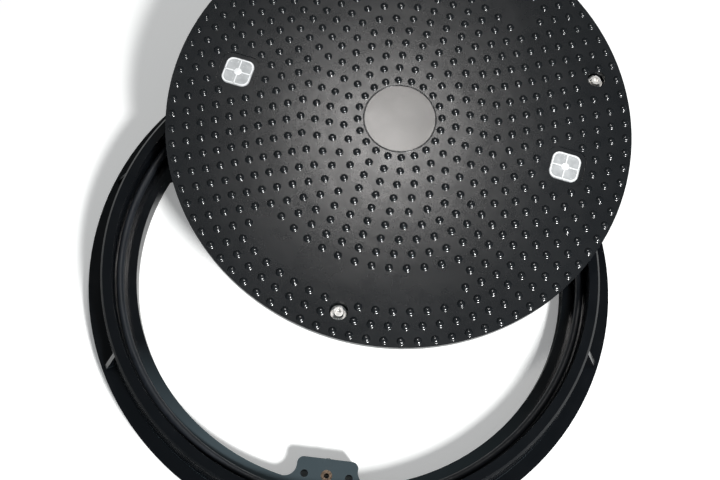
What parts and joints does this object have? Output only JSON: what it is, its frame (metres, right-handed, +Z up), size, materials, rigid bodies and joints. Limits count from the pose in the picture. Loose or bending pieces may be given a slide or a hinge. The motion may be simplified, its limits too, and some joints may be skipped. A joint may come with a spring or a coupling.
{
  "type": "manhole cover",
  "caption": "Round moulded access cover whose lid, with captive screws and clear capped key sockets, lies part way off its sealed ring frame.",
  "frame": {"origin": "on the ring frame's axis, at the level of the ground under it", "axes": "+Z up; -Y from the axis towards the screw lug that the lid leaves bare; +X to the right as seen from that lug"},
  "size_m": [0.734, 0.8888, 0.1417],
  "materials": {
    "frame": "black moulded composite, satin",
    "lid": "black moulded composite, soft shine",
    "rubber": "black, dull",
    "brass": "dulled",
    "steel": "stainless",
    "screw_steel": "stainless, turned",
    "clear": "clear moulded plastic"
  },
  "bodies": {
    "ring": {"frame_ring": "frame", "threaded_inserts": "brass", "seat_seal": "rubber"},
    "lid": {"lid_shell": "lid", "screw_sleeves": "steel", "screw_seals": "rubber", "cap_gasket_left": "rubber", "cap_gasket_right": "rubber", "lift_bar_left": "steel", "lift_bar_right": "steel"},
    "cap_left": {"key_cap_left": "clear"},
    "cap_right": {"key_cap_right": "clear"},
    "washer_1": {"screw_washer_1": "screw_steel"},
    "screw_1": {"lock_screw_1": "screw_steel", "screw_clip_1": "steel"},
    "washer_2": {"screw_washer_2": "screw_steel"},
    "screw_2": {"lock_screw_2": "screw_steel", "screw_clip_2": "steel"},
    "washer_3": {"screw_washer_3": "screw_steel"},
    "screw_3": {"lock_screw_3": "screw_steel", "screw_clip_3": "steel"}
  },
  "joints": [
    {"name": "lid_lift", "type": "slide", "parent": "ring", "child": "lid", "axis": [0, 0, 1], "range_m": [0, 0.12]},
    {"name": "cap_left_lift", "type": "slide", "parent": "lid", "child": "cap_left", "axis": [-0.0121, -0.0583, 0.9982], "range_m": [0, 0.03]},
    {"name": "cap_right_lift", "type": "slide", "parent": "lid", "child": "cap_right", "axis": [-0.0121, -0.0583, 0.9982], "range_m": [0, 0.03]},
    {"name": "screw_1_lift", "type": "slide", "parent": "lid", "child": "washer_1", "axis": [-0.0121, -0.0583, 0.9982], "range_m": [0, 0.011]},
    {"name": "screw_1_turn", "type": "hinge", "parent": "washer_1", "child": "screw_1", "pos_m": [-0.01068, -0.08632, 0.10155], "axis": [-0.0121, -0.0583, 0.9982], "continuous": true},
    {"name": "screw_2_lift", "type": "slide", "parent": "lid", "child": "washer_2", "axis": [-0.0121, -0.0583, 0.9982], "range_m": [0, 0.011]},
    {"name": "screw_2_turn", "type": "hinge", "parent": "washer_2", "child": "screw_2", "pos_m": [0.31236, 0.29402, 0.12767], "axis": [-0.0121, -0.0583, 0.9982], "continuous": true},
    {"name": "screw_3_lift", "type": "slide", "parent": "lid", "child": "washer_3", "axis": [-0.0121, -0.0583, 0.9982], "range_m": [0, 0.011]},
    {"name": "screw_3_turn", "type": "hinge", "parent": "washer_3", "child": "screw_3", "pos_m": [-0.17928, 0.38339, 0.12694], "axis": [-0.0121, -0.0583, 0.9982], "continuous": true}
  ]
}
